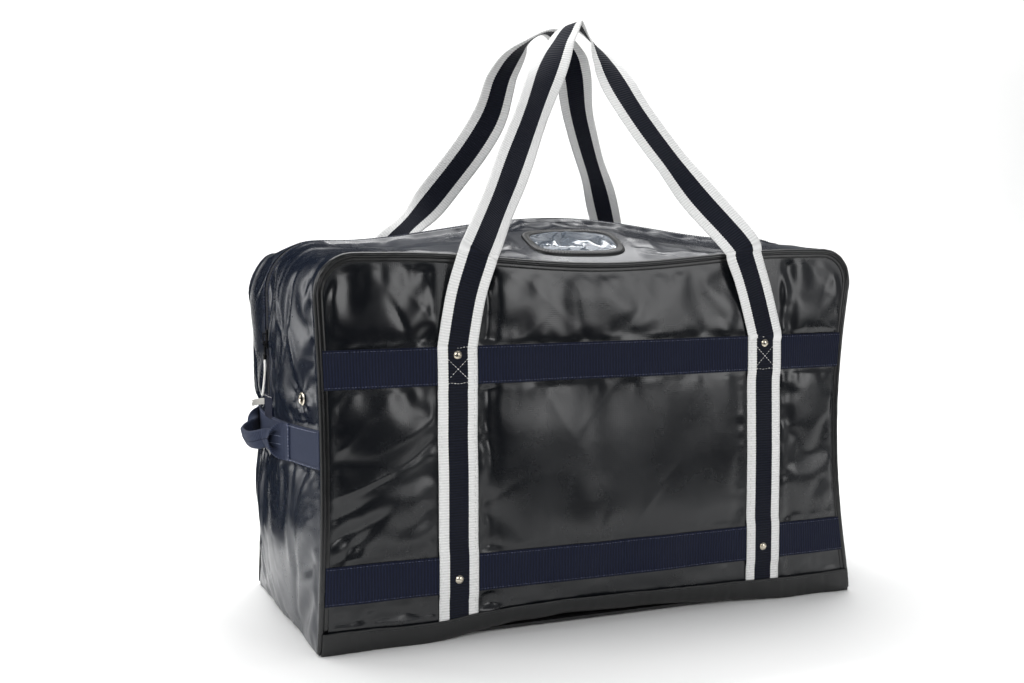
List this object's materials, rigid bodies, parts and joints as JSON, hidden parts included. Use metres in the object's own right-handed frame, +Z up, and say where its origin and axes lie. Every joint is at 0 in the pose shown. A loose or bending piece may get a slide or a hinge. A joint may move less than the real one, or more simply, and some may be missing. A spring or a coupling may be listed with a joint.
{
  "type": "hockey skate bag",
  "caption": "Large box-shaped soft carry bag with two long strap handles, a full-length top zip, webbing bands, end grab handles and a clear card window.",
  "frame": {"origin": "middle of the base, on the floor", "axes": "+X along the bag towards its right end, -Y out of the front panel, +Z up"},
  "size_m": [0.9114, 0.4182, 0.8391],
  "materials": {
    "coated_cloth": "gloss PVC-coated polyester",
    "base_cloth": "matte coated nylon",
    "piping": "satin vinyl piping",
    "navy_webbing": "ribbed polyester webbing",
    "grab_webbing": "folded polyester webbing",
    "striped_webbing": "white and navy striped webbing",
    "zip_tape": "woven zip tape",
    "zip_coil": "moulded zip teeth",
    "zip_metal": "black enamelled die casting",
    "rivet_metal": "nickel plated",
    "board": "plain stiffener sheet",
    "window": "clear vinyl",
    "tag": "blank woven tag",
    "pull_cord": "white braided cord"
  },
  "bodies": {
    "bag": {"front_panel": "coated_cloth", "rear_panel": "coated_cloth", "left_end_panel": "coated_cloth", "right_end_panel": "coated_cloth", "base_panel": "base_cloth", "base_board": "board", "front_base_strip": "base_cloth", "rear_base_strip": "base_cloth", "front_piping": "piping", "rear_piping": "piping", "front_top_binding": "base_cloth", "rear_top_binding": "base_cloth", "upper_front_band": "navy_webbing", "lower_front_band": "navy_webbing", "upper_rear_band": "navy_webbing", "lower_rear_band": "navy_webbing", "front_left_strap": "striped_webbing", "front_right_strap": "striped_webbing", "rear_left_strap": "striped_webbing", "rear_right_strap": "striped_webbing", "strap_rivets": "rivet_metal", "vent_eyelets": "rivet_metal", "left_zip_tapes": "zip_tape", "right_zip_tapes": "zip_tape", "left_zip_coils": "zip_coil", "right_zip_coils": "zip_coil", "zip_end_stops": "rivet_metal", "left_zip_patch": "navy_webbing", "right_zip_patch": "navy_webbing", "side_tag": "tag", "left_grab_band": "grab_webbing", "right_grab_band": "grab_webbing", "left_grab_anchors": "grab_webbing", "right_grab_anchors": "grab_webbing"},
    "front_flap": {"front_flap": "coated_cloth", "front_flap_tape": "zip_tape", "front_flap_coil": "zip_coil", "id_window_frame": "piping", "id_window_vinyl": "window"},
    "rear_flap": {"rear_flap": "coated_cloth", "rear_flap_tape": "zip_tape", "rear_flap_coil": "zip_coil"},
    "front_handle": {"front_handle": "striped_webbing"},
    "rear_handle": {"rear_handle": "striped_webbing"},
    "left_grab": {"left_grab_handle": "grab_webbing"},
    "right_grab": {"right_grab_handle": "grab_webbing"},
    "left_slider": {"left_slider": "zip_metal"},
    "right_slider": {"right_slider": "zip_metal"},
    "left_pull": {"left_pull_tab": "zip_metal", "left_pull_cord": "pull_cord"},
    "right_pull": {"right_pull_tab": "zip_metal"}
  },
  "joints": [
    {"name": "front_flap_fold", "type": "hinge", "parent": "bag", "child": "front_flap", "pos_m": [0, -0.193, 0.496], "axis": [1, 0, 0], "range_deg": [0, 36]},
    {"name": "rear_flap_fold", "type": "hinge", "parent": "bag", "child": "rear_flap", "pos_m": [0, 0.193, 0.496], "axis": [-1, 0, 0], "range_deg": [0, 36]},
    {"name": "front_handle_fold", "type": "hinge", "parent": "bag", "child": "front_handle", "pos_m": [0, -0.2028, 0.384], "axis": [1, 0, 0], "range_deg": [0, 150]},
    {"name": "rear_handle_fold", "type": "hinge", "parent": "bag", "child": "rear_handle", "pos_m": [0, 0.2028, 0.384], "axis": [-1, 0, 0], "range_deg": [0, 150]},
    {"name": "left_grab_swing", "type": "hinge", "parent": "bag", "child": "left_grab", "pos_m": [-0.434, 0, 0.261], "axis": [0, 1, 0], "range_deg": [0, 75]},
    {"name": "right_grab_swing", "type": "hinge", "parent": "bag", "child": "right_grab", "pos_m": [0.434, 0, 0.261], "axis": [0, -1, 0], "range_deg": [0, 75]},
    {"name": "left_slider_travel", "type": "slide", "parent": "bag", "child": "left_slider", "axis": [0, 0, 1], "range_m": [0, 0.045]},
    {"name": "right_slider_travel", "type": "slide", "parent": "bag", "child": "right_slider", "axis": [0, 0, 1], "range_m": [0, 0.045]},
    {"name": "left_pull_swing", "type": "hinge", "parent": "left_slider", "child": "left_pull", "pos_m": [-0.4242, 0, 0.387], "axis": [0, 1, 0], "range_deg": [0, 140]},
    {"name": "right_pull_swing", "type": "hinge", "parent": "right_slider", "child": "right_pull", "pos_m": [0.4242, 0, 0.387], "axis": [0, -1, 0], "range_deg": [0, 140]}
  ]
}
